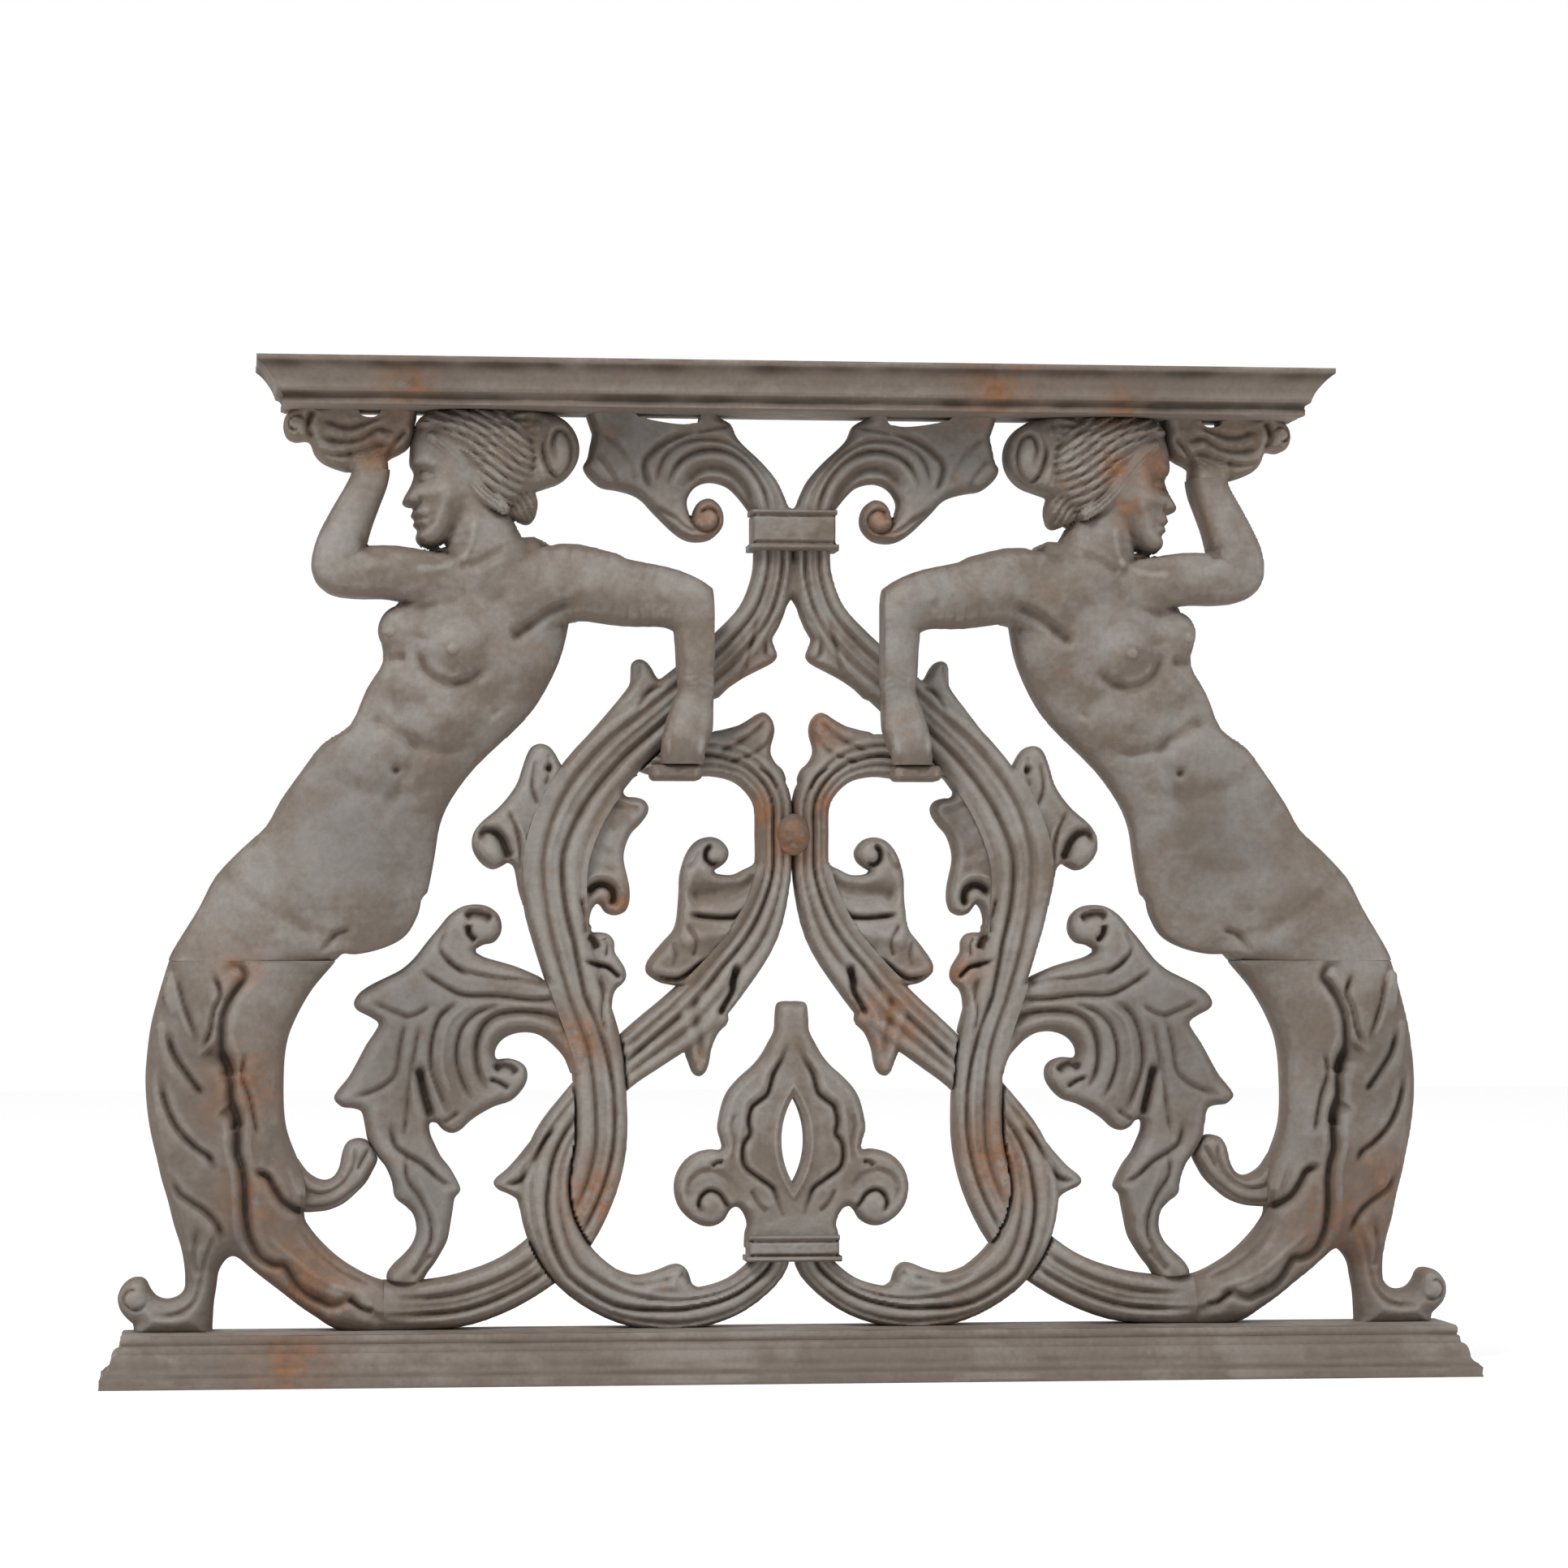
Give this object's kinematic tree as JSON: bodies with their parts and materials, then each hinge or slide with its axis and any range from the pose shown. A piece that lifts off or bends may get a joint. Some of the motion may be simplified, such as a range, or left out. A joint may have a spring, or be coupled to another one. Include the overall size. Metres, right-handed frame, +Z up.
{
  "type": "cast iron fireplace front",
  "caption": "Freestanding openwork cast iron fireplace front: moulded rails joined by a panel of scrolls, acanthus leaves and a mirrored pair of leaf-tailed half figures.",
  "frame": {"origin": "on the floor under the middle of the front", "axes": "+X to the viewer's right along the rails, +Y towards the wall behind, +Z up"},
  "size_m": [0.841, 0.072, 0.616],
  "materials": {
    "rail_iron": "bare pitted casting, matt, with brown rust film",
    "ornament_iron": "bare pitted casting, matt, darker in the hollows",
    "figure_iron": "bare casting, matt, lighter and smoother on the bodies",
    "rusted_iron": "matt with an orange rust film",
    "screw_iron": "dull dark iron"
  },
  "bodies": {
    "root": {"top_rail": "rail_iron", "bottom_rail": "rail_iron", "left_figure": "figure_iron", "right_figure": "figure_iron", "left_cushion": "ornament_iron", "right_cushion": "ornament_iron", "left_tail": "ornament_iron", "right_tail": "ornament_iron", "left_tendril": "ornament_iron", "right_tendril": "ornament_iron", "left_s_stem": "ornament_iron", "right_s_stem": "ornament_iron", "left_c_scroll": "ornament_iron", "right_c_scroll": "ornament_iron", "left_crown_leaf": "ornament_iron", "right_crown_leaf": "ornament_iron", "left_circle_leaf": "ornament_iron", "right_circle_leaf": "ornament_iron", "left_outer_leaf": "ornament_iron", "right_outer_leaf": "ornament_iron", "left_inner_leaf": "ornament_iron", "right_inner_leaf": "ornament_iron", "left_kiss_leaf": "ornament_iron", "right_kiss_leaf": "ornament_iron", "left_hand_block": "ornament_iron", "right_hand_block": "ornament_iron", "fleur_de_lis": "ornament_iron", "upper_collar": "ornament_iron", "lower_collar": "ornament_iron", "centre_boss": "rusted_iron", "top_screws": "screw_iron", "bottom_screws": "screw_iron"}
  },
  "joints": []
}
